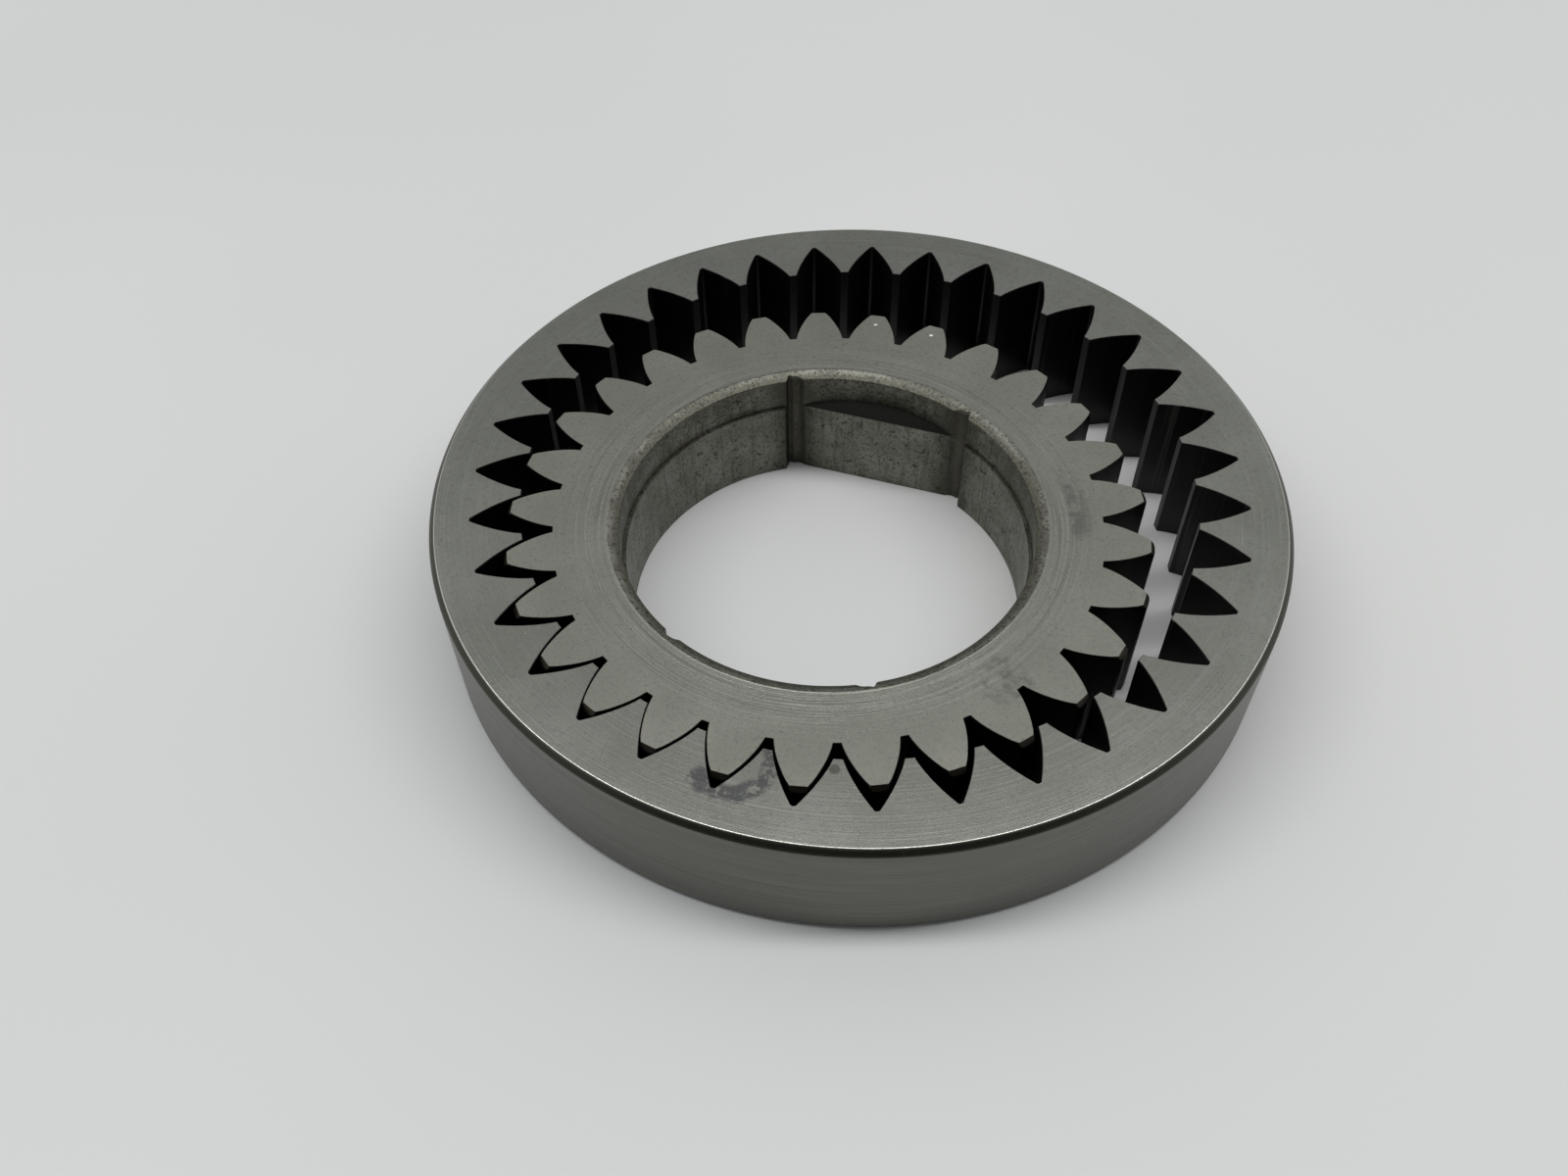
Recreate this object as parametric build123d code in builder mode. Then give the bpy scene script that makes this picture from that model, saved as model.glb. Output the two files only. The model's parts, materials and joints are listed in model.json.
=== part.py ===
# Gear set of an internal gear oil pump: a ring gear with inside teeth, and the smaller
# drive gear that runs off centre inside it. Both have straight involute teeth.
# Millimetres, +Z up. The origin is on the ring gear's axis, in the plane of its lower face.
# The line of centres lies along Y, and the teeth mesh on the -Y side.

from build123d import *
from math import atan, cos, pi, radians, sin, sqrt, tan
import os

# Teeth of both gears
module = 2.4
pressure_angle = 24.0
ring_teeth = 35
drive_teeth = 29
drive_tooth_share = 0.665  # part of the circular pitch that a drive tooth fills
backlash = 0.32
flank_gap = 0.05  # between the flanks that carry the load
tip_gap = 0.95  # from the ring gear's tooth tips to the drive gear's roots
root_gap = 1.2  # from the drive gear's tooth tips to the ring gear's roots
flank_points = 7

# Both gears
face_width = 15.9

# Ring gear
ring_addendum = 1.4  # from the pitch circle in to the tooth tips
rim_thickness = 4.9
ring_edge_chamfer = 0.7
ring_root_round = 0.15
ring_turn = 0.92  # degrees past the place where a gap is centred on the line of centres

# Drive gear
drive_addendum = 3.4  # from the pitch circle out to the tooth tips
drive_tip_chamfer = 0.28
drive_tip_round = 0.35
punched_teeth = (15, 16)  # counted from the tooth in mesh
punch_inset = 2.6
punch_width = 0.8
punch_depth = 0.25

# Drive bore: round, with a flat lug on each side and a relief in each corner of the lugs
bore_radius = 24.25
lug_height = 1.75  # how far each flat stands in from the round bore
flat_half_length = 12.1
flat_turn = 102.3  # degrees from the tooth in mesh to the direction of the flats
relief_radius = 1.4
relief_depth = 0.2

# Counterbore on the upper side, and the lead-in at its mouth
counterbore_step = 0.45
counterbore_depth = 4.9
lug_bevel = 22.0
lead_in_width = 1.3
lead_in_depth = 0.6

# Worked out from the sizes above
centre_distance = module * (ring_teeth - drive_teeth) / 2
circular_pitch = pi * module
drive_tooth_width = drive_tooth_share * circular_pitch
ring_gap_width = drive_tooth_width + backlash
drive_pitch_radius = module * drive_teeth / 2
drive_tip_radius = drive_pitch_radius + drive_addendum
ring_tip_radius = module * ring_teeth / 2 - ring_addendum
ring_root_radius = centre_distance + drive_tip_radius + root_gap
ring_outer_radius = ring_root_radius + rim_thickness
drive_root_radius = ring_tip_radius - centre_distance - tip_gap
flat_distance = bore_radius - lug_height
counterbore_radius = bore_radius + counterbore_step

# The loaded flanks touch, so the drive gear lags by half the backlash
lag = (backlash / 2 - flank_gap) / drive_pitch_radius
ring_gap_angle = radians(ring_turn - 90)
drive_tooth_angle = radians(ring_turn * ring_teeth / drive_teeth - 90) - lag
drive_pitch_angle = 2 * pi / drive_teeth

drive_seat = Plane(origin=(0, -centre_distance, 0))
drive_axis = Axis(origin=(0, -centre_distance, 0), direction=(0, 0, 1))
bore_seat = drive_seat.rotated((0, 0, drive_tooth_angle * 180 / pi + flat_turn))


def polar(radius, angle):
    return (radius * cos(angle), radius * sin(angle))


def involute(radius, base_radius):
    """Angle between an involute's start on its base circle and its point at a radius."""
    roll = sqrt((radius / base_radius) ** 2 - 1)
    return roll - atan(roll)


def lobed_outline(lobes, valley_radius, crest_radius, lobe_width, crest_round, turn):
    """Closed outline of lobes that narrow outwards between involute flanks.

    They are the teeth of an outside gear, or the gaps between the teeth of a ring gear.
    """
    pitch_radius = module * lobes / 2
    base_radius = pitch_radius * cos(radians(pressure_angle))
    base_half_angle = lobe_width / (2 * pitch_radius) + involute(pitch_radius, base_radius)
    lobe_pitch = 2 * pi / lobes

    def half_angle(radius):
        return base_half_angle - involute(radius, base_radius)

    rounding = min(crest_round, crest_radius * half_angle(crest_radius) * 0.7)
    flank_height = crest_radius - rounding - valley_radius
    radii = [valley_radius + flank_height * i / (flank_points - 1) for i in range(flank_points)]
    crest_half_angle = half_angle(crest_radius) - rounding / crest_radius
    valley_half_angle = half_angle(valley_radius)

    with BuildSketch() as outline:
        with BuildLine():
            for lobe in range(lobes):
                middle = turn + lobe * lobe_pitch
                rising = Spline([polar(r, middle - half_angle(r)) for r in radii])
                falling = Spline([polar(r, middle + half_angle(r)) for r in reversed(radii)])
                crest = ThreePointArc(
                    polar(crest_radius, middle - crest_half_angle),
                    polar(crest_radius, middle),
                    polar(crest_radius, middle + crest_half_angle),
                )
                TangentArc(rising @ 1, crest @ 0, tangent=rising % 1)
                TangentArc(falling @ 0, crest @ 1, tangent=-(falling % 0))
                ThreePointArc(
                    falling @ 1,
                    polar(valley_radius, middle + lobe_pitch / 2),
                    polar(valley_radius, middle + lobe_pitch - valley_half_angle),
                )
        make_face()
    return outline.sketch


ring_gaps = lobed_outline(
    ring_teeth, ring_tip_radius, ring_root_radius, ring_gap_width, ring_root_round, ring_gap_angle
)
drive_lobes = lobed_outline(
    drive_teeth,
    drive_root_radius,
    drive_tip_radius,
    drive_tooth_width,
    drive_tip_round,
    drive_tooth_angle,
)

# Ring gear: a ring with inside teeth, chamfered all round its outer edges
with BuildPart() as ring_gear:
    with BuildSketch():
        Circle(ring_outer_radius)
        add(ring_gaps, mode=Mode.SUBTRACT)
    extrude(amount=face_width)
    outer_wall = ring_gear.faces().filter_by(GeomType.CYLINDER).sort_by(SortBy.AREA)[-1]
    chamfer(outer_wall.edges().filter_by(GeomType.CIRCLE), ring_edge_chamfer)

# Counterbore: it stops above the lugs, and leaves their tops bevelled towards the axis
ledge_plane = bore_seat.offset(face_width - counterbore_depth)
lug_section = Plane(
    origin=ledge_plane.origin, x_dir=ledge_plane.y_dir, z_dir=ledge_plane.x_dir
)
bevel_end = counterbore_radius + counterbore_step
bevel_rise = (bevel_end - flat_distance) * tan(radians(lug_bevel))
with BuildPart() as counterbore:
    with BuildSketch(ledge_plane):
        Circle(counterbore_radius)
    extrude(amount=counterbore_depth)
    for side in (1, -1):
        with BuildSketch(lug_section):
            with BuildLine():
                Polyline(
                    (side * flat_distance, 0),
                    (side * bevel_end, 0),
                    (side * bevel_end, bevel_rise),
                    close=True,
                )
            make_face()
        extrude(amount=counterbore_radius, both=True, mode=Mode.SUBTRACT)

# Drive gear: outside teeth round the counterbored drive bore
with BuildPart() as drive_gear:
    with BuildSketch(drive_seat):
        add(drive_lobes)
    extrude(amount=face_width)

    # The blank's edges were chamfered before the teeth were cut
    with BuildSketch(Plane.XZ.offset(centre_distance)):
        with BuildLine():
            Polyline(
                (drive_tip_radius - drive_tip_chamfer, face_width),
                (drive_tip_radius + drive_tip_chamfer, face_width),
                (drive_tip_radius + drive_tip_chamfer, face_width - 2 * drive_tip_chamfer),
                close=True,
            )
        make_face()
        mirror(about=Plane.XY.offset(face_width / 2))
    revolve(axis=drive_axis, mode=Mode.SUBTRACT)

    # Drive bore with its lugs and corner reliefs, right through
    add(counterbore.part, mode=Mode.SUBTRACT)
    with BuildSketch(bore_seat):
        Circle(bore_radius)
        Rectangle(2 * bore_radius, 2 * flat_distance, mode=Mode.INTERSECT)
        Rectangle(2 * flat_half_length, 2 * flat_distance)
        relief_x = flat_half_length - relief_radius
        relief_y = flat_distance - relief_radius + relief_depth
        with GridLocations(2 * relief_x, 2 * relief_y, 2, 2):
            Circle(relief_radius)
    extrude(amount=face_width, mode=Mode.SUBTRACT)

    # Lead-in at the counterbore's mouth
    with Locations(bore_seat.offset(face_width - lead_in_depth)):
        Cone(
            bottom_radius=counterbore_radius,
            top_radius=counterbore_radius + lead_in_width,
            height=lead_in_depth,
            align=(Align.CENTER, Align.CENTER, Align.MIN),
            mode=Mode.SUBTRACT,
        )

    # Punch marks that show which side faces the pump cover
    for tooth in punched_teeth:
        mark = polar(drive_tip_radius - punch_inset, drive_tooth_angle + tooth * drive_pitch_angle)
        with Locations((mark[0], mark[1] - centre_distance, face_width - punch_depth)):
            Cone(
                bottom_radius=0,
                top_radius=punch_width / 2,
                height=punch_depth,
                align=(Align.CENTER, Align.CENTER, Align.MIN),
                mode=Mode.SUBTRACT,
            )

os.makedirs("parts", exist_ok=True)
ring_gear.part.label = "ring_gear"
drive_gear.part.label = "drive_gear"
export_step(ring_gear.part, "parts/ring_gear.step")
export_step(drive_gear.part, "parts/drive_gear.step")

print("centre distance", centre_distance)
print("ring gear: tip, root and outer radius", ring_tip_radius, ring_root_radius, ring_outer_radius)
print("drive gear: root and tip radius", drive_root_radius, drive_tip_radius)
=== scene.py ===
import json
import math

import bpy
from mathutils import Matrix, Vector


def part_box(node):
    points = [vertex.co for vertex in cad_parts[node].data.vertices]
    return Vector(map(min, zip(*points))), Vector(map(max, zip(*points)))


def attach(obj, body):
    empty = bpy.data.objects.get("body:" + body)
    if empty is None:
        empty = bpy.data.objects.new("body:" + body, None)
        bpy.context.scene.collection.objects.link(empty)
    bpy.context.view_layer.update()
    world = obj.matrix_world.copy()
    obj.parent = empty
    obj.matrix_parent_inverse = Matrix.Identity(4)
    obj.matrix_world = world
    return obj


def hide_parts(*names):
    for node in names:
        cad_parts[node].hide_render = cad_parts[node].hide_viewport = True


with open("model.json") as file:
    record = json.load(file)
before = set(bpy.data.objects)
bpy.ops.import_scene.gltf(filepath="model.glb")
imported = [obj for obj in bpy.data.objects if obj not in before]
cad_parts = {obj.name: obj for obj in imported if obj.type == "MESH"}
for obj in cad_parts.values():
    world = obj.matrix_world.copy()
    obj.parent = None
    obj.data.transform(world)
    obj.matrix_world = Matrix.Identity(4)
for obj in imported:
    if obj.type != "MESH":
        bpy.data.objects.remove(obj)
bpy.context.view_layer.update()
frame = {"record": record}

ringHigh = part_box("ring_gear")[1]
faceHeight = ringHigh.z
ringOuter = ringHigh.x
# the drive gear's axis is the axis of its bore's mount
driveMount = next(m for m in frame["record"]["mounts"] if m["name"] == "drive_bore")
driveCentre = Vector((driveMount["pos_m"][0], driveMount["pos_m"][1], 0))
print("frame loaded")


# A node socket that can stand in a sum; node() adds any other node to its tree
class Flow:
    def __init__(self, tree, socket=None):
        self.tree = tree
        self.socket = socket

    # sockets are given by name, or by place where a node has several of one name
    def node(self, kind, settings=None, sockets=None, out=0):
        made = self.tree.nodes.new(kind)
        for name, value in (settings or {}).items():
            setattr(made, name, value)
        for name, value in (sockets or {}).items():
            if isinstance(value, Flow):
                self.tree.links.new(value.socket, made.inputs[name])
            else:
                made.inputs[name].default_value = value
        return Flow(self.tree, made.outputs[out]) if len(made.outputs) else made

    def maths(self, operation, *others):
        sockets = {0: self}
        for place, other in enumerate(others):
            sockets[place + 1] = other
        return self.node("ShaderNodeMath", {"operation": operation}, sockets)

    def __add__(self, other):
        return self.maths("ADD", other)

    __radd__ = __add__

    def __sub__(self, other):
        return self.maths("SUBTRACT", other)

    def __rsub__(self, other):
        return self.node("ShaderNodeMath", {"operation": "SUBTRACT"}, {0: other, 1: self})

    def __mul__(self, other):
        return self.maths("MULTIPLY", other)

    __rmul__ = __mul__

    def __truediv__(self, other):
        return self.maths("DIVIDE", other)

    def __rtruediv__(self, other):
        return self.node("ShaderNodeMath", {"operation": "DIVIDE"}, {0: other, 1: self})

    def scaled(self, amount):
        return self.node("ShaderNodeVectorMath", {"operation": "SCALE"}, {0: self, "Scale": amount})

    # 0 below low, 1 above high, smooth between them; it falls where low is above high
    def step(self, low, high):
        return self.node(
            "ShaderNodeMapRange",
            {"interpolation_type": "SMOOTHSTEP"},
            {0: self, 1: low, 2: high, 3: 0.0, 4: 1.0},
        )

    def noise(self, scale, detail=3.0, roughness=0.55):
        return self.node(
            "ShaderNodeTexNoise",
            {"noise_dimensions": "3D"},
            {"Vector": self, "Scale": scale, "Detail": detail, "Roughness": roughness},
        )

    # this flow is the factor between two colours
    def tint(self, first, second):
        return self.node(
            "ShaderNodeMix", {"data_type": "RGBA"}, {0: self, 6: first, 7: second}, 2
        )


def tone(red, green, blue):
    return (red, green, blue, 1)


# A new material, with its flow and its shader node
def newMaterial(name):
    material = bpy.data.materials.new(name)
    material.use_nodes = True
    flow = Flow(material.node_tree)
    return material, flow, material.node_tree.nodes["Principled BSDF"]


# Object coordinates in millimetres, measured from a centre on the floor
def millimetres(flow, centre):
    place = flow.node("ShaderNodeTexCoord", out="Object")
    return flow.node(
        "ShaderNodeMapping",
        {"vector_type": "POINT"},
        {
            "Vector": place,
            "Location": (-1000 * centre.x, -1000 * centre.y, 0),
            "Scale": (1000, 1000, 1000),
        },
    )


def split(flow, vector):
    return [flow.node("ShaderNodeSeparateXYZ", None, {0: vector}, axis) for axis in "XYZ"]


def feed(flow, shader, **links):
    for name, value in links.items():
        flow.tree.links.new(value.socket, shader.inputs[name.replace("_", " ")])


def length(across, along):
    return (across * across + along * along).maths("SQRT")


# 1 inside a soft round spot, with its edge broken up by a ragged flow round 0
def spot(x, y, place, radius, ragged):
    away = length(x - place[0], y - place[1]) + ragged
    return away.step(radius, radius * 0.55)


# 1 on a band between two values, soft at both ends
def band(value, low, high, soft):
    return value.step(low - soft, low + soft) * value.step(high + soft, high - soft)


# 1 on surfaces that face straight up or down, 0 on upright walls
def facingUp(flow):
    return split(flow, flow.node("ShaderNodeTexCoord", out="Normal"))[2].maths("ABSOLUTE")


# Noise drawn out round the axis, like the marks of a lathe
def turning(flow, x, y, radius, look):
    drift = look["turningDrift"]
    rings = flow.node(
        "ShaderNodeCombineXYZ", None, {0: radius * look["turningScale"], 1: x * drift, 2: y * drift}
    )
    return rings.noise(1.0, 3.0, 0.7)


# Noise with a scale of its own along each axis
def drawnOut(flow, place, scale):
    mapped = flow.node("ShaderNodeMapping", None, {"Vector": place, "Scale": scale})
    return mapped.noise(1.0, 3.0, 0.6)


# The small marks of use on a ground face: fine stains, speckle and pits
def marked(place, face, fine, look):
    speckle = place.noise(look["speckleScale"], 3.0, 0.7)
    face = (fine.step(0.50, 0.72) * 0.5).tint(face, look["stain"])
    face = (speckle.step(0.53, 0.68) * 0.5).tint(face, look["stain"])
    pitLevel = look["pitLevel"]
    pits = place.noise(look["pitScale"], 2.0, 0.5).step(pitLevel, pitLevel + look["pitSoft"])
    return (pits * 0.8).tint(face, look["pit"]), pits


def finishMetal(flow, shader, colour, roughness, height, look):
    bump = {"Strength": look["bumpStrength"], "Distance": look["bumpDepth"], "Height": height}
    shader.inputs["Metallic"].default_value = 1.0
    normal = flow.node("ShaderNodeBump", None, bump)
    feed(flow, shader, Base_Color=colour, Roughness=roughness, Normal=normal)


# A new Geometry Nodes tree with named inputs, and the group's input sockets by name
def newTree(name, sizes):
    tree = bpy.data.node_groups.new(name, "GeometryNodeTree")
    for label, value in sizes.items():
        kind = "NodeSocketInt" if isinstance(value, int) else "NodeSocketFloat"
        kind = "NodeSocketMaterial" if isinstance(value, bpy.types.Material) else kind
        tree.interface.new_socket(label, in_out="INPUT", socket_type=kind)
    tree.interface.new_socket("Geometry", in_out="OUTPUT", socket_type="NodeSocketGeometry")
    flow = Flow(tree)
    entry = tree.nodes.new("NodeGroupInput")
    return flow, {label: Flow(tree, entry.outputs[label]) for label in sizes}


def smallerOf(first, second):
    return first.maths("MINIMUM", second)


def largerOf(first, second):
    return first.maths("MAXIMUM", second)


# How far one run of points has come, from 0 at its start to 1 at its end
def share(count, start, run):
    return smallerOf(largerOf((count - start) / run, 0.0), 1.0)


def vectorSum(flow, first, second):
    return flow.node("ShaderNodeVectorMath", {"operation": "ADD"}, {0: first, 1: second})


def vectorLength(flow, vector):
    return flow.node("ShaderNodeVectorMath", {"operation": "LENGTH"}, {0: vector}, "Value")


def raised(flow, vector, height):
    return vectorSum(flow, vector, flow.node("ShaderNodeCombineXYZ", None, {2: height}))


def point(flow, radius, angle, height):
    return flow.node(
        "ShaderNodeCombineXYZ",
        None,
        {0: radius * angle.maths("COSINE"), 1: radius * angle.maths("SINE"), 2: height},
    )


def involute(radius, baseRadius):
    roll = ((radius / baseRadius).maths("POWER", 2.0) - 1.0).maths("SQRT")
    return roll - roll.maths("ARCTANGENT")


# How a tooth's points are shared out on each side of its middle; together they are a half
toothShare = {"crest": 0.0625, "round": 0.09375, "flank": 0.25, "valley": 0.09375}


# A closed curve through every tooth: crest, rounded corner, involute flank, valley
def toothCurve(flow, size):
    count = size["Teeth"] * size["Points"]
    circle = flow.node("GeometryNodeCurvePrimitiveCircle", None, {"Resolution": count})
    index = flow.node("GeometryNodeInputIndex")
    tooth = (index / size["Points"]).maths("FLOOR")
    step = index - tooth * size["Points"] - size["Points"] * 0.5
    away = step.maths("ABSOLUTE")
    crestRun = size["Points"] * toothShare["crest"]
    roundRun = size["Points"] * toothShare["round"]
    flankRun = size["Points"] * toothShare["flank"]
    valleyRun = size["Points"] * toothShare["valley"]
    pitchRadius = size["Module"] * size["Teeth"] * 0.5
    baseRadius = pitchRadius * size["Pressure Angle"].maths("COSINE")
    middle = size["Lobe Width"] / (pitchRadius * 2.0) + involute(pitchRadius, baseRadius)
    crest, valley, corner = size["Crest Radius"], size["Valley Radius"], size["Crest Round"]
    pitch = 2 * math.pi / size["Teeth"]

    corners = share(away, crestRun, roundRun) * (math.pi / 2)
    shoulder = crest - corner
    flankRadius = shoulder - share(away, crestRun + roundRun, flankRun) * (shoulder - valley)
    radius = flankRadius + corner * corners.maths("COSINE")
    crestAngle = middle - involute(crest, baseRadius) - corner / crest
    shoulderAngle = middle - involute(shoulder, baseRadius)
    valleyAngle = middle - involute(valley, baseRadius)
    angle = share(away, 0.0, crestRun) * crestAngle
    angle = angle + corners.maths("SINE") * (shoulderAngle - crestAngle)
    angle = angle + (middle - involute(flankRadius, baseRadius) - shoulderAngle)
    valleyShare = share(away, crestRun + roundRun + flankRun, valleyRun)
    angle = angle + valleyShare * (pitch * 0.5 - valleyAngle)
    turn = size["Turn"] + tooth * pitch + step.maths("SIGN") * angle
    place = point(flow, radius, turn, 0.0)
    curve = flow.node("GeometryNodeSetPosition", None, {"Geometry": circle, "Position": place})
    return curve, count


# The row of each point of a skin, and for its column the tooth curve's place, the way from
# there into the metal, and the angle round the axis
def columns(flow, size, curve, count, rows, inward):
    index = flow.node("GeometryNodeInputIndex")
    column = (index / float(rows)).maths("FLOOR")
    row = index - column * float(rows)
    wrapped = column - (column / count).maths("FLOOR") * count
    vector = {"data_type": "FLOAT_VECTOR"}
    place = flow.node(
        "GeometryNodeSampleIndex", vector,
        {"Geometry": curve, "Value": flow.node("GeometryNodeInputPosition"), "Index": wrapped},
    )
    along = flow.node(
        "GeometryNodeSampleIndex", vector,
        {"Geometry": curve, "Value": flow.node("GeometryNodeInputTangent"), "Index": wrapped},
    )
    into = flow.node(
        "ShaderNodeVectorMath", {"operation": "CROSS_PRODUCT"}, {0: along, 1: (0, 0, 1)}
    ).scaled(-1.0 if inward else 1.0)
    angle = size["Turn"] + column * (2 * math.pi / count) - math.pi / size["Teeth"]
    return row, place, into, angle


# millimetres between the points that a seam joins
seamGap = 0.001


# A closed skin over rings of points, one ring to a row, with its seams merged
def skin(flow, count, row, rings):
    grid = flow.node(
        "GeometryNodeMeshGrid", None, {"Vertices X": count + 1.0, "Vertices Y": len(rings)}
    )
    switch = flow.tree.nodes.new("GeometryNodeIndexSwitch")
    switch.data_type = "VECTOR"
    while len(switch.index_switch_items) < len(rings):
        switch.index_switch_items.new()
    flow.tree.links.new(row.socket, switch.inputs[0])
    for number, ring in enumerate(rings):
        flow.tree.links.new(ring.socket, switch.inputs[number + 1])
    moved = flow.node(
        "GeometryNodeSetPosition", None,
        {"Geometry": grid, "Position": Flow(flow.tree, switch.outputs[0])},
    )
    seam = {"Geometry": moved, "Distance": seamGap}
    closed = flow.node("GeometryNodeMergeByDistance", None, seam)
    return flow.node("GeometryNodeFlipFaces", None, {"Mesh": closed})


sharpAngle = math.radians(30)


# The end of each tree: shading that is smooth up to real corners, metres for millimetres,
# and the finish
def finishTree(flow, size, mesh, centre):
    bend = flow.node("GeometryNodeInputMeshEdgeAngle").maths("GREATER_THAN", sharpAngle)
    smooth = flow.node("GeometryNodeSetShadeSmooth", {"domain": "FACE"}, {"Geometry": mesh})
    sharp = flow.node(
        "GeometryNodeSetShadeSmooth", {"domain": "EDGE"},
        {"Geometry": smooth, "Selection": bend, "Shade Smooth": False},
    )
    scaled = flow.node(
        "GeometryNodeTransform", None,
        {"Geometry": sharp, "Scale": (0.001, 0.001, 0.001), "Translation": centre},
    )
    real = flow.node("GeometryNodeRealizeInstances", None, {"Geometry": scaled})
    dressed = flow.node(
        "GeometryNodeSetMaterial", None, {"Geometry": real, "Material": size["Finish"]}
    )
    ending = flow.tree.nodes.new("NodeGroupOutput")
    flow.tree.links.new(dressed.socket, ending.inputs[0])


# Runs a tree on an empty mesh and keeps the result as a plain mesh; flat faces stay flat
def growPiece(name, flow, sizes, node):
    piece = bpy.data.objects.new(name, bpy.data.meshes.new(name))
    bpy.context.collection.objects.link(piece)
    grow = piece.modifiers.new("grow", "NODES")
    grow.node_group = flow.tree
    for socket in flow.tree.interface.items_tree:
        if socket.in_out == "INPUT":
            grow[socket.identifier] = sizes[socket.name]
    flat = piece.modifiers.new("flatFaces", "WEIGHTED_NORMAL")
    flat.keep_sharp = True
    bpy.context.view_layer.update()
    grown = piece.evaluated_get(bpy.context.evaluated_depsgraph_get())
    plain = bpy.data.meshes.new_from_object(grown)
    piece.modifiers.clear()
    piece.data = plain
    plain.name = name
    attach(piece, "root")
    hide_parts(node)
    print(name, "grown,", len(plain.polygons), "faces")


# Millimetres and radians; an edge is the width of the broken corners
ringSize = {
    "Teeth": 35,
    "Points": 32,
    "Module": 2.4,
    "Pressure Angle": math.radians(24),
    "Lobe Width": 5.334,  # of the gaps, which narrow outwards
    "Crest Radius": 46.6,
    "Valley Radius": 40.6,
    "Crest Round": 0.15,
    "Turn": math.radians(-89.08),
    "Width": faceHeight * 1000,
    "Outer Radius": ringOuter * 1000,
    "Chamfer": 0.7,
    "Edge": 0.08,
}


# Colours, the marks' places in millimetres from the gear's axis, and the scales of the grain
ringLook = {
    "face": tone(0.315, 0.316, 0.282),
    "faceWorn": tone(0.37, 0.37, 0.335),
    "scratch": tone(0.47, 0.47, 0.44),
    "stain": tone(0.20, 0.202, 0.18),
    "pit": tone(0.10, 0.09, 0.08),
    "wall": tone(0.125, 0.122, 0.108),
    "wallLight": tone(0.18, 0.175, 0.16),
    # painted shade: the rim chamfer darker than the wall it is cut from
    "chamfer": tone(0.07, 0.068, 0.056),
    # a bright line at the rim edge: edge wear and painted highlight
    "edgeWearAndHighlight": tone(0.80, 0.79, 0.74),
    # tooth: the flanks near black, painted shade of the narrow gaps between the teeth
    "tooth": tone(0.035, 0.035, 0.034),
    "toothLight": tone(0.13, 0.13, 0.125),
    "smear": tone(0.115, 0.118, 0.12),
    "smearPlace": (9.0, -41.8),
    "smearInside": 3.1,
    "smearOutside": 5.1,
    "dotPlace": (18.5, -37.6),
    "dotRadius": 0.75,
    "blotchScale": 0.09,
    "fineScale": 1.6,
    "grainScale": 9.0,
    "speckleScale": 4.5,
    "turningScale": 4.0,
    "turningDrift": 0.04,
    "pitScale": 2.4,
    "pitLevel": 0.715,
    "pitSoft": 0.045,
    "roughness": 0.34,
    "roughnessChange": 0.14,
    "roughnessOffFace": 0.06,
    "bumpDepth": 0.00004,
    "bumpStrength": 0.5,
}


# The upper and lower faces: ground, stained, with one hooked smear and one dark dot
def ringFace(flow, place, x, y, fine, turned):
    look = ringLook
    blotch = place.noise(look["blotchScale"], 4.0).step(0.35, 0.7)
    face = blotch.tint(look["face"], look["faceWorn"])
    face = (turned.step(0.5, 0.72) * 0.45).tint(face, look["scratch"])
    face, pits = marked(place, face, fine, look)

    ragged = (place.noise(0.7, 3.0) - 0.5) * 3.0
    fromX, fromY = x - look["smearPlace"][0], y - look["smearPlace"][1]
    away = length(fromX, fromY) + ragged * 0.5
    hook = band(away, look["smearInside"], look["smearOutside"], 0.35)
    hook = hook * place.noise(1.3, 4.0, 0.65).step(0.36, 0.5)
    hook = hook * (fromX * 0.9 - fromY * 0.45).step(-1.6, -0.6)
    face = (hook * 0.85).tint(face, look["smear"])
    dot = spot(x, y, look["dotPlace"], look["dotRadius"], 0.0)
    return (dot * 0.7).tint(face, look["pit"]), pits


def ringSteel():
    look = ringLook
    material, flow, shader = newMaterial("ringSteel")
    place = millimetres(flow, Vector((0, 0, 0)))
    x, y, z = split(flow, place)
    facing = facingUp(flow)
    radius = length(x, y)
    outer = ringSize["Outer Radius"]
    onFace = facing.step(0.78, 0.93)
    onOutside = radius.step(outer - 2.3, outer - 1.3)

    fine = place.noise(look["fineScale"], 5.0, 0.65)
    grain = place.noise(look["grainScale"], 2.0, 0.6)
    turned = turning(flow, x, y, radius, look)
    face, pits = ringFace(flow, place, x, y, fine, turned)

    lines = drawnOut(flow, place, (0.05, 0.05, 7.0))
    wall = lines.step(0.3, 0.7).tint(look["wall"], look["wallLight"])
    wall = (fine.step(0.6, 0.8) * 0.3).tint(wall, look["stain"])
    # the chamfer painted darker than the wall: painted shade standing in for its dark reflection
    chamferShadeMask = facing.step(0.45, 0.6) * facing.step(0.9, 0.8)
    wall = chamferShadeMask.tint(wall, look["chamfer"])

    # the tooth flanks painted near black as shade, with lighter strips of grain
    strips = drawnOut(flow, place, (0.9, 0.9, 0.02))
    tooth = strips.step(0.6, 0.78).tint(look["tooth"], look["toothLight"])

    # a bright line painted where the face meets the chamfer: partly edge wear, partly painted
    # highlight
    edgeWearAndHighlight = onOutside * facing.step(0.84, 0.93) * facing.step(0.9995, 0.985)
    colour = onFace.tint(onOutside.tint(tooth, wall), face)
    colour = (edgeWearAndHighlight * 0.8).tint(colour, look["edgeWearAndHighlight"])
    roughness = look["roughness"] + (fine - 0.5) * look["roughnessChange"]
    roughness = roughness + (1 - onFace) * look["roughnessOffFace"]
    onWall = onOutside * (1 - onFace)
    height = grain * (1 - onWall * 0.5) + lines * onWall * 0.35
    height = height + turned * onFace * 0.8 - pits * 0.8
    finishMetal(flow, shader, colour, roughness, height, look)
    return material


# the number of rings in the list that growRing makes
ringRows = 13


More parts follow.
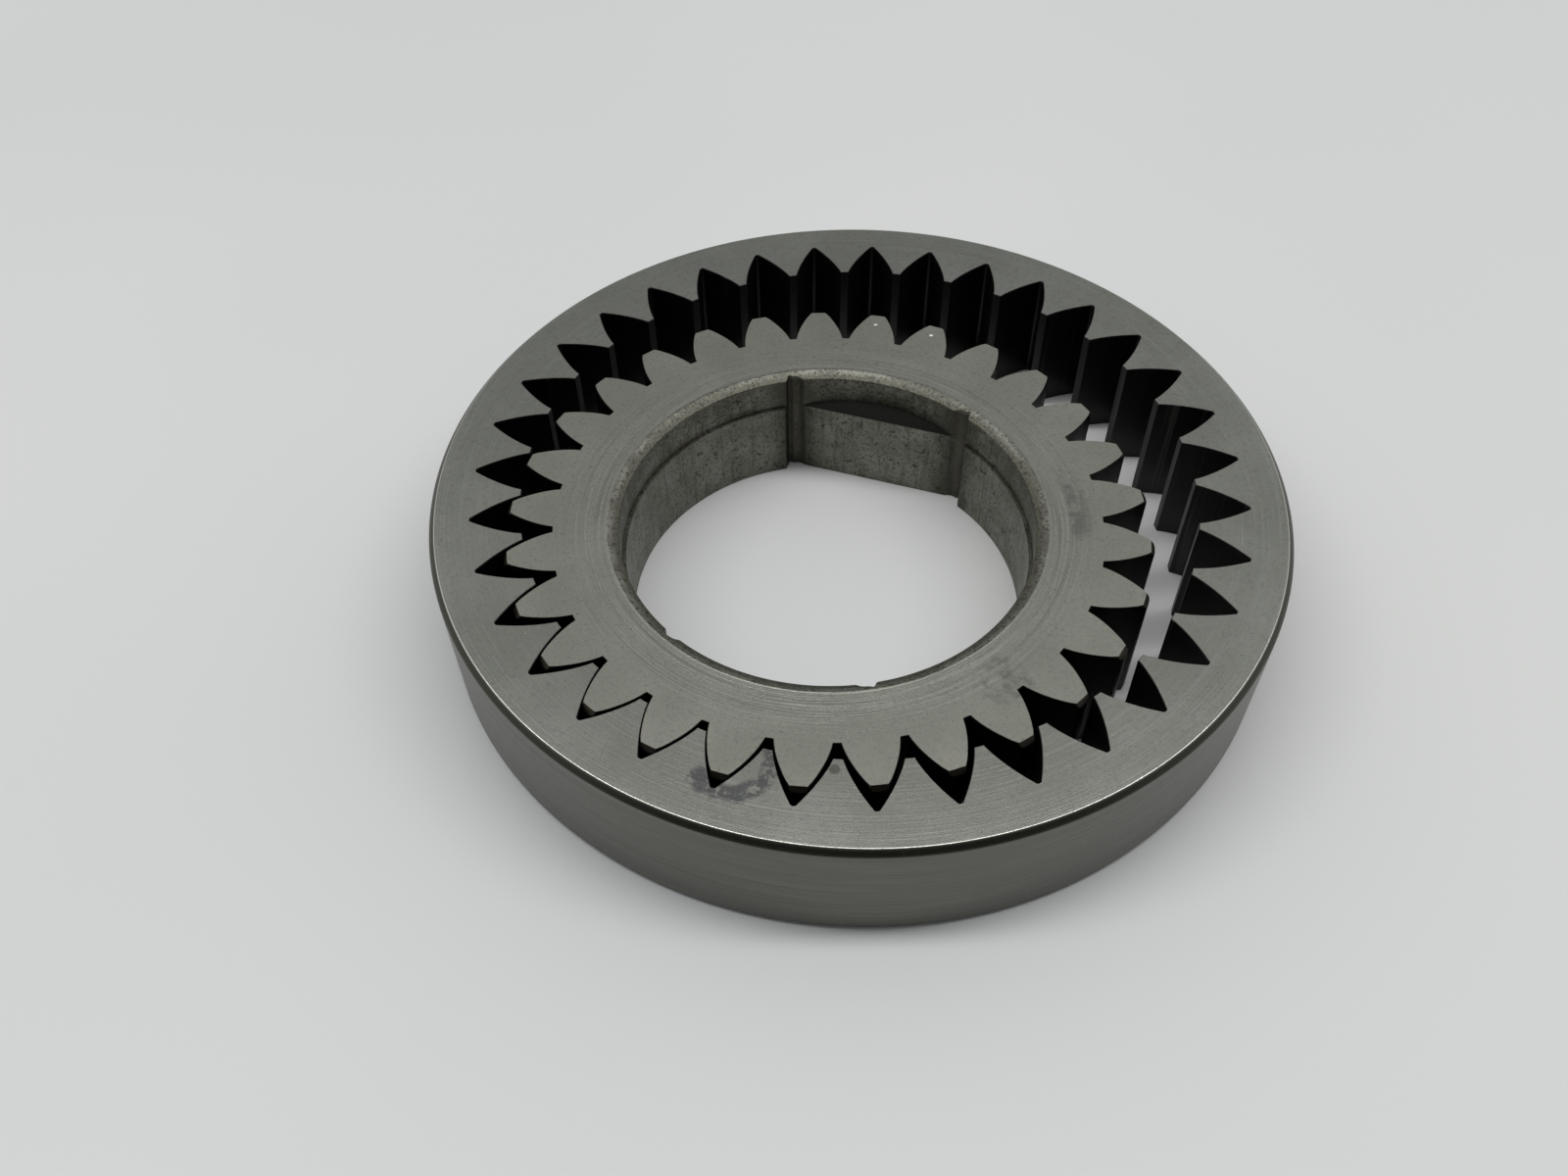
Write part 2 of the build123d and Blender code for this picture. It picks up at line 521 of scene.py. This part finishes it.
def growRing():
    sizes = dict(ringSize, Finish=ringSteel())
    flow, size = newTree("ringGear", sizes)
    curve, count = toothCurve(flow, size)
    row, place, into, angle = columns(flow, size, curve, count, ringRows, False)
    edge, width, chamfer, outer = size["Edge"], size["Width"], size["Chamfer"], size["Outer Radius"]
    inset = vectorSum(flow, place, into.scaled(edge))
    bottom = 0.0
    rim = [
        (outer - chamfer - edge, bottom),
        (outer - chamfer + edge * 0.5, edge * 0.5),
        (outer - edge * 0.5, chamfer - edge * 0.5),
        (outer, chamfer + edge),
    ]
    rings = [raised(flow, place, edge), raised(flow, place, width - edge)]
    rings += [raised(flow, inset, width)]
    rings += [point(flow, radius, angle, width - height) for radius, height in rim]
    rings += [point(flow, radius, angle, height) for radius, height in reversed(rim)]
    rings += [raised(flow, inset, bottom), raised(flow, place, edge)]
    finishTree(flow, size, skin(flow, count, row, rings), (0, 0, 0))
    growPiece("ringGearBody", flow, sizes, "ring_gear")


# Millimetres and radians; punched teeth are counted from the tooth in mesh
driveSize = {
    "Teeth": 29,
    "Points": 32,
    "Module": 2.4,
    "Pressure Angle": math.radians(24),
    "Lobe Width": 5.014,
    "Crest Radius": 38.2,
    "Valley Radius": 32.45,
    "Crest Round": 0.35,
    "Turn": math.radians(-89.071),
    "Width": faceHeight * 1000,
    "Tip Chamfer": 0.5,
    "Edge": 0.07,
    "Bore Radius": 24.25,
    "Flat Distance": 22.5,
    "Flat Half Length": 12.1,
    "Flats Turn": math.radians(13.229),
    "Relief Radius": 1.4,
    "Relief Depth": 0.2,
    "Counterbore Radius": 24.7,
    "Counterbore Depth": 4.9,
    "Lug Bevel": math.radians(22),
    "Lead-in Width": 1.3,
    "Lead-in Depth": 0.6,
    "Punch Inset": 2.6,
    "Punch Width": 0.8,
    "Punch Depth": 0.25,
    "First Punched Tooth": 15,
    "Punch Marks": 2,
    "Punch Sides": 24,
}


# Colours, the marks' places in millimetres from the gear's axis, and the scales of the grain
driveLook = {
    "face": tone(0.38, 0.378, 0.325),
    "faceWorn": tone(0.435, 0.43, 0.375),
    "scratch": tone(0.52, 0.51, 0.48),
    "stain": tone(0.20, 0.20, 0.19),
    "pit": tone(0.09, 0.08, 0.07),
    "bore": tone(0.185, 0.183, 0.155),
    "boreLight": tone(0.255, 0.252, 0.222),
    "upper": tone(0.145, 0.142, 0.115),
    "leadIn": tone(0.18, 0.178, 0.15),
    "leadInBright": tone(0.29, 0.288, 0.25),
    # near black: painted shade of the lug tops down in the bore
    "shadedLugTop": tone(0.012, 0.0125, 0.011),
    # rust specks and streaks; also the colour of the painted shade along the ledge
    "rustAndShade": tone(0.048, 0.045, 0.034),
    # tooth: the flanks near black, painted shade of the gaps between the teeth
    "tooth": tone(0.035, 0.035, 0.033),
    "tip": tone(0.085, 0.075, 0.058),
    "smear": tone(0.16, 0.16, 0.15),
    "rubbedPlace": (28.2, -11.6),
    "rubbedRadius": 3.6,
    "smudgePlace": (24.8, 17.0),
    "smudgeRadius": 8.0,
    "smudgeInside": 28.6,
    "smudgeOutside": 31.0,
    "cornerDarkeningAlong": 10.9,
    "cornerDarkeningAcross": 21.6,
    "blotchScale": 0.10,
    "fineScale": 1.7,
    "grainScale": 9.0,
    "speckleScale": 4.5,
    "turningScale": 4.5,
    "turningDrift": 0.05,
    "pitScale": 2.2,
    "pitLevel": 0.70,
    "pitSoft": 0.05,
    "roughness": 0.34,
    "roughnessChange": 0.14,
    "roughnessInBore": 0.14,
    "bumpDepth": 0.00004,
    "bumpStrength": 0.5,
}


# The upper and lower faces: ground, scored round the bore, with two rubbed places
def driveFace(flow, place, x, y, radius, fine, turned, nearBore):
    look = driveLook
    blotch = place.noise(look["blotchScale"], 4.0).step(0.35, 0.7)
    face = blotch.tint(look["face"], look["faceWorn"])
    face = (turned.step(0.52, 0.66) * nearBore * 0.8).tint(face, look["scratch"])
    face = (turned.step(0.46, 0.34) * nearBore * 0.55).tint(face, look["stain"])
    face, pits = marked(place, face, fine, look)

    ragged = (place.noise(0.8, 3.0) - 0.5) * 3.0
    rubbed = spot(x, y, look["rubbedPlace"], look["rubbedRadius"], ragged)
    rubbed = rubbed * place.noise(0.55, 5.0, 0.7).step(0.44, 0.62)
    face = (rubbed * 0.5).tint(face, look["smear"])
    smudge = band(radius + ragged * 0.9, look["smudgeInside"], look["smudgeOutside"], 0.7)
    smudge = smudge * spot(x, y, look["smudgePlace"], look["smudgeRadius"], ragged)
    smudge = smudge * place.noise(0.4, 5.0, 0.7).step(0.40, 0.64)
    return (smudge * 0.6).tint(face, look["smear"]), pits


# The bore: round wall and flats, ledge, upper wall, lug tops painted near black as shade, and
# lead-in
def driveBore(flow, place, x, y, z, facing, fine, specks):
    look = driveLook
    width, flat = driveSize["Width"], driveSize["Flat Distance"]
    ledge = width - driveSize["Counterbore Depth"]
    foot = width - driveSize["Lead-in Depth"] - 0.1
    turn = driveSize["Flats Turn"]
    along = (x * math.cos(turn) + y * math.sin(turn)).maths("ABSOLUTE")
    across = (y * math.cos(turn) - x * math.sin(turn)).maths("ABSOLUTE")

    wet = place.noise(0.28, 5.0, 0.62)
    bore = wet.step(0.36, 0.66).tint(look["bore"], look["boreLight"])
    bore = (specks.step(0.51, 0.60) * 0.6).tint(bore, look["rustAndShade"])
    upper = wet.step(0.4, 0.7).tint(look["upper"], look["boreLight"])
    upper = (specks.step(0.48, 0.58) * 0.65).tint(upper, look["rustAndShade"])
    wall = z.step(ledge - 0.05, ledge + 0.05).tint(bore, upper)
    streaks = drawnOut(flow, place, (1.6, 1.6, 0.12))
    wall = (streaks.step(0.52, 0.66) * 0.35).tint(wall, look["rustAndShade"])
    # a dark band painted along the ledge: painted shade under the upper wall
    wall = (band(z, ledge - 0.08, ledge + 0.08, 0.08) * 0.4).tint(wall, look["rustAndShade"])
    blots = place.noise(1.1, 4.0, 0.7).step(0.57, 0.64)
    wall = (blots * 0.8).tint(wall, look["rustAndShade"])
    # darker round the corners of the flats, where their reliefs are
    corner = length(along - look["cornerDarkeningAlong"], across - look["cornerDarkeningAcross"])
    cornerDarkening = (corner + (specks - 0.5) * 14.0).step(3.4, 1.4)
    wall = (cornerDarkening * 0.8).tint(wall, look["rustAndShade"])
    # the lug tops painted near black: painted shade
    shadedLugTop = facing.step(0.5, 0.8) * z.step(foot, foot - 0.5)
    shadedLugTop = shadedLugTop * across.step(flat - 0.15, flat + 0.1)
    wall = shadedLugTop.tint(wall, look["shadedLugTop"])

    leadIn = wet.step(0.42, 0.6).tint(look["leadIn"], look["leadInBright"])
    leadIn = (z - fine * 0.3).step(foot + 0.1, foot + 0.45).tint(look["upper"], leadIn)
    leadIn = (specks.step(0.50, 0.62) * 0.8).tint(leadIn, look["rustAndShade"])
    return z.step(foot - 0.1, foot + 0.1).tint(wall, leadIn)


def driveSteel():
    look = driveLook
    material, flow, shader = newMaterial("driveSteel")
    place = millimetres(flow, driveCentre)
    x, y, z = split(flow, place)
    facing = facingUp(flow)
    radius = length(x, y)
    mouth = driveSize["Counterbore Radius"] + driveSize["Lead-in Width"]
    tipRadius = driveSize["Crest Radius"] - driveSize["Tip Chamfer"]
    tipFoot = driveSize["Width"] - driveSize["Tip Chamfer"]
    onFace = facing.step(0.75, 0.93)
    inBore = radius.step(mouth + 0.3, mouth - 0.1)
    nearBore = radius.step(mouth + 7.5, mouth + 1.5)

    fine = place.noise(look["fineScale"], 5.0, 0.65)
    grain = place.noise(look["grainScale"], 2.0, 0.6)
    specks = place.noise(2.6, 4.0, 0.75)
    turned = turning(flow, x, y, radius, look)
    face, pits = driveFace(flow, place, x, y, radius, fine, turned, nearBore)
    inside = driveBore(flow, place, x, y, z, facing, fine, specks)

    tipEdge = radius.step(tipRadius - 0.1, tipRadius + 0.05) * facing.step(0.99, 0.93)
    tipEdge = tipEdge * z.step(tipFoot - 0.1, tipFoot + 0.1)
    # the tooth flanks painted near black: painted shade
    tooth = tipEdge.tint(look["tooth"], look["tip"])
    colour = inBore.tint(onFace.tint(tooth, face), inside)
    roughness = look["roughness"] + (fine - 0.5) * look["roughnessChange"]
    roughness = roughness + inBore * look["roughnessInBore"]
    height = grain + turned * nearBore * 1.5 - pits * 0.8 + specks * inBore * 4.0
    finishMetal(flow, shader, colour, roughness, height, look)
    return material


# Radius of the drive bore at an angle: the round wall, the flats, their ends and corner reliefs
def boreOutline(size, angle):
    turned = angle - size["Flats Turn"]
    across = turned.maths("SINE").maths("ABSOLUTE")
    along = turned.maths("COSINE").maths("ABSOLUTE")
    flat = size["Flat Distance"] / largerOf(across, 0.001)
    end = size["Flat Half Length"] / largerOf(along, 0.001)
    outline = largerOf(smallerOf(size["Bore Radius"], flat), smallerOf(end, flat))
    reliefX = size["Flat Half Length"] - size["Relief Radius"]
    reliefY = size["Flat Distance"] - size["Relief Radius"] + size["Relief Depth"]
    reach = reliefX * along + reliefY * across
    room = size["Relief Radius"].maths("POWER", 2.0) + reach * reach
    room = room - (reliefX * reliefX + reliefY * reliefY)
    relief = (reach + largerOf(room, 0.0).maths("SQRT")) * room.maths("GREATER_THAN", 0.0)
    return largerOf(outline, relief), across


# the number of rings in the list that growDrive makes
driveRows = 14


def growDrive():
    sizes = dict(driveSize, Finish=driveSteel())
    flow, size = newTree("driveGear", sizes)
    curve, count = toothCurve(flow, size)
    row, place, into, angle = columns(flow, size, curve, count, driveRows, True)
    edge, width = size["Edge"], size["Width"]
    low, across = boreOutline(size, angle)
    upper = largerOf(size["Counterbore Radius"], low)
    ledge = width - size["Counterbore Depth"]
    lug = largerOf(upper * across - size["Flat Distance"], 0.0) * size["Lug Bevel"].maths("TANGENT")
    slope = size["Lead-in Depth"] / size["Lead-in Width"]
    mouth = size["Counterbore Radius"] + size["Lead-in Width"]
    foot = width - (mouth - upper) * slope

    # on the faces the tooth outline keeps inside the chamfer of the tips
    tipRadius = size["Crest Radius"] - size["Tip Chamfer"]
    inset = vectorSum(flow, place, into.scaled(edge))
    reach = vectorLength(flow, inset)
    capped = inset.scaled(smallerOf(reach, tipRadius) / reach)
    drop = largerOf(vectorLength(flow, place) - tipRadius, 0.0) + edge
    bottom = 0.0
    rings = [
        point(flow, low, angle, edge),
        point(flow, low, angle, ledge - edge),
        point(flow, smallerOf(low + edge, upper), angle, ledge),
        point(flow, upper, angle, ledge + lug),
        point(flow, upper, angle, foot - edge),
        point(flow, upper + edge, angle, foot + edge * slope),
        point(flow, mouth - edge, angle, width - edge * slope),
        point(flow, mouth + edge, angle, width),
        raised(flow, capped, width),
        raised(flow, place, width - drop),
        raised(flow, place, drop),
        raised(flow, capped, bottom),
        point(flow, low + edge, angle, bottom),
        point(flow, low, angle, edge),
    ]
    body = skin(flow, count, row, rings)

    # punch marks, one to a tooth
    pitch = 2 * math.pi / size["Teeth"]
    tooth = size["First Punched Tooth"] + flow.node("GeometryNodeInputIndex")
    markRadius = size["Crest Radius"] - size["Punch Inset"]
    mark = point(flow, markRadius, size["Turn"] + tooth * pitch, width)
    marks = flow.node("GeometryNodePoints", None, {"Count": size["Punch Marks"], "Position": mark})
    cone = flow.node(
        "GeometryNodeMeshCone", None,
        {
            "Vertices": size["Punch Sides"],
            "Radius Top": size["Punch Width"],
            "Radius Bottom": 0.0,
            "Depth": size["Punch Depth"] * 2.0,
        },
    )
    sink = flow.node("ShaderNodeCombineXYZ", None, {2: 0 - size["Punch Depth"]})
    sunk = flow.node("GeometryNodeTransform", None, {"Geometry": cone, "Translation": sink})
    punches = flow.node("GeometryNodeInstanceOnPoints", None, {"Points": marks, "Instance": sunk})
    punches = flow.node("GeometryNodeRealizeInstances", None, {"Geometry": punches})
    cut = flow.node(
        "GeometryNodeMeshBoolean", {"operation": "DIFFERENCE"}, {"Mesh 1": body, "Mesh 2": punches}
    )
    finishTree(flow, size, cut, tuple(driveCentre))
    growPiece("driveGearBody", flow, sizes, "drive_gear")


growRing()
growDrive()

floorLook = {
    "colour": tone(0.81, 0.812, 0.80),
    "cool": tone(0.775, 0.785, 0.785),
    "patchScale": 0.006,
    "width": 3.0,
    "roughness": 0.55,
}


def makeFloor():
    half = floorLook["width"] / 2
    mesh = bpy.data.meshes.new("floor")
    corners = [(-half, -half, 0), (half, -half, 0), (half, half, 0), (-half, half, 0)]
    mesh.from_pydata(corners, [], [(0, 1, 2, 3)])
    floor = bpy.data.objects.new("floor", mesh)
    bpy.context.collection.objects.link(floor)
    material, flow, shader = newMaterial("paleFloor")
    place = millimetres(flow, Vector((0, 0, 0)))
    patches = place.noise(floorLook["patchScale"], 2.0).step(0.3, 0.7)
    feed(flow, shader, Base_Color=patches.tint(floorLook["colour"], floorLook["cool"]))
    shader.inputs["Roughness"].default_value = floorLook["roughness"]
    mesh.materials.append(material)


makeFloor()
print("floor laid")

# Degrees; right, up and distance are in radii of the ring gear's flat upper face
cameraLook = {
    "lens": 30.7,
    "azimuth": 32.28,
    "elevation": 49.71,
    "roll": -1.23,
    "distance": 3.193,
    "right": 0.1743,
    "up": 0.2664,
    "faceRadius": 0.0508,
}


def makeCamera():
    azimuth = math.radians(cameraLook["azimuth"])
    elevation = math.radians(cameraLook["elevation"])
    turn = Matrix.Rotation(azimuth, 3, "Z") @ Matrix.Rotation(math.pi / 2 - elevation, 3, "X")
    turn = turn @ Matrix.Rotation(math.radians(cameraLook["roll"]), 3, "Z")
    size = cameraLook["faceRadius"]
    offset = Vector((cameraLook["right"], cameraLook["up"], -cameraLook["distance"])) * size
    camera = bpy.data.objects.new("camera", bpy.data.cameras.new("camera"))
    camera.data.lens = cameraLook["lens"]
    camera.matrix_world = turn.to_4x4()
    camera.location = Vector((0, 0, faceHeight)) - turn @ offset
    camera.data.clip_start = 0.01
    bpy.context.collection.objects.link(camera)
    bpy.context.scene.camera = camera


makeCamera()

# A long lamp overhead, in metres and watts, and soft panels in the room: degrees to the left
# of straight ahead, elevation, half width, strength
lightLook = {
    "lamp": 9.0,
    "lampLong": 2.2,
    "lampWide": 0.16,
    "lampHeight": 1.1,
    "lampFar": 0.05,
    "room": 0.03,
    "panels": {
        "ahead": (0, 28, 50, 0.33),
        "left": (75, 25, 55, 0.6),
        "right": (-75, 25, 55, 0.55),
        "above": (180, 80, 35, 0.4),
    },
}


# The way to a place in the room, as the camera's azimuth sees it
def direction(azimuth, elevation):
    azimuth = math.radians(cameraLook["azimuth"] + azimuth)
    elevation = math.radians(elevation)
    level = math.cos(elevation)
    return Vector((-math.sin(azimuth) * level, math.cos(azimuth) * level, math.sin(elevation)))


def makeLights():
    lamp = bpy.data.lights.new("softbox", "AREA")
    lamp.shape = "RECTANGLE"
    lamp.size = lightLook["lampLong"]
    lamp.size_y = lightLook["lampWide"]
    lamp.energy = lightLook["lamp"]
    softbox = bpy.data.objects.new("softbox", lamp)
    softbox.location = direction(0, 0) * lightLook["lampFar"]
    softbox.location.z = lightLook["lampHeight"]
    softbox.rotation_euler = (0, 0, math.radians(cameraLook["azimuth"]))
    bpy.context.collection.objects.link(softbox)

    world = bpy.data.worlds.new("room")
    bpy.context.scene.world = world
    world.use_nodes = True
    flow = Flow(world.node_tree)
    look = flow.node("ShaderNodeTexCoord", out="Generated")
    strength = None
    for azimuth, elevation, halfWidth, level in lightLook["panels"].values():
        along = flow.node(
            "ShaderNodeVectorMath",
            {"operation": "DOT_PRODUCT"},
            {0: look, 1: direction(azimuth, elevation)},
            "Value",
        )
        glow = along.step(math.cos(math.radians(halfWidth)), 1.0) * level
        strength = glow if strength is None else strength + glow
    strength = strength + lightLook["room"]
    background = world.node_tree.nodes["Background"]
    background.inputs["Color"].default_value = tone(0.97, 1.0, 1.0)
    world.node_tree.links.new(strength.socket, background.inputs["Strength"])


makeLights()
print("lights placed")

bpy.context.scene.view_settings.view_transform = "Standard"
print("scene ready")
